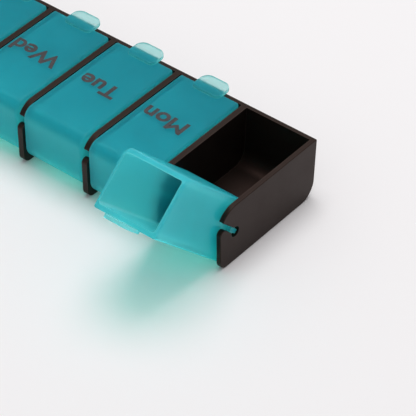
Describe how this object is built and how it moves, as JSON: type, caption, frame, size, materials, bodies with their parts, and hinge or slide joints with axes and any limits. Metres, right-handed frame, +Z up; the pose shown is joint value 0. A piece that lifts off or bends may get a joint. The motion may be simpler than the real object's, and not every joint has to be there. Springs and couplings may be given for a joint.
{
  "type": "travel pill organizer",
  "caption": "Weekly pill organizer: a long open-topped tray of bays, each holding a translucent flip-out cup with a thumb tab, turning on stub pins in keyhole slots.",
  "frame": {"origin": "middle of the tray's flat underside", "axes": "+X along the row from the Sunday bay to the Saturday bay, -Y the side with the thumb tabs, +Y the hinge side, +Z up"},
  "size_m": [0.155, 0.0663, 0.0348],
  "materials": {
    "tray_plastic": "satin, fine grain",
    "cup_plastic": "satin, cloudy and see-through",
    "label_ink": "satin print"
  },
  "bodies": {
    "tray": {"tray": "tray_plastic"},
    "cup_sunday": {"cup_sunday": "cup_plastic"},
    "cup_monday": {"cup_monday": "cup_plastic"},
    "cup_tuesday": {"cup_tuesday": "cup_plastic"},
    "cup_wednesday": {"cup_wednesday": "cup_plastic"},
    "cup_thursday": {"cup_thursday": "cup_plastic"},
    "cup_friday": {"cup_friday": "cup_plastic"},
    "cup_saturday": {"cup_saturday": "cup_plastic"}
  },
  "joints": [
    {"name": "sunday_hinge", "type": "hinge", "parent": "tray", "child": "cup_sunday", "pos_m": [-0.066, 0.01355, 0.0093], "axis": [-1, 0, 0], "range_deg": [-134.7, 0]},
    {"name": "monday_hinge", "type": "hinge", "parent": "tray", "child": "cup_monday", "pos_m": [-0.044, 0.01355, 0.0093], "axis": [-1, 0, 0], "range_deg": [0, 134.7]},
    {"name": "tuesday_hinge", "type": "hinge", "parent": "tray", "child": "cup_tuesday", "pos_m": [-0.022, 0.01355, 0.0093], "axis": [-1, 0, 0], "range_deg": [0, 134.7]},
    {"name": "wednesday_hinge", "type": "hinge", "parent": "tray", "child": "cup_wednesday", "pos_m": [0, 0.01355, 0.0093], "axis": [-1, 0, 0], "range_deg": [0, 134.7]},
    {"name": "thursday_hinge", "type": "hinge", "parent": "tray", "child": "cup_thursday", "pos_m": [0.022, 0.01355, 0.0093], "axis": [-1, 0, 0], "range_deg": [0, 134.7]},
    {"name": "friday_hinge", "type": "hinge", "parent": "tray", "child": "cup_friday", "pos_m": [0.044, 0.01355, 0.0093], "axis": [-1, 0, 0], "range_deg": [0, 134.7]},
    {"name": "saturday_hinge", "type": "hinge", "parent": "tray", "child": "cup_saturday", "pos_m": [0.066, 0.01355, 0.0093], "axis": [-1, 0, 0], "range_deg": [0, 134.7]}
  ]
}
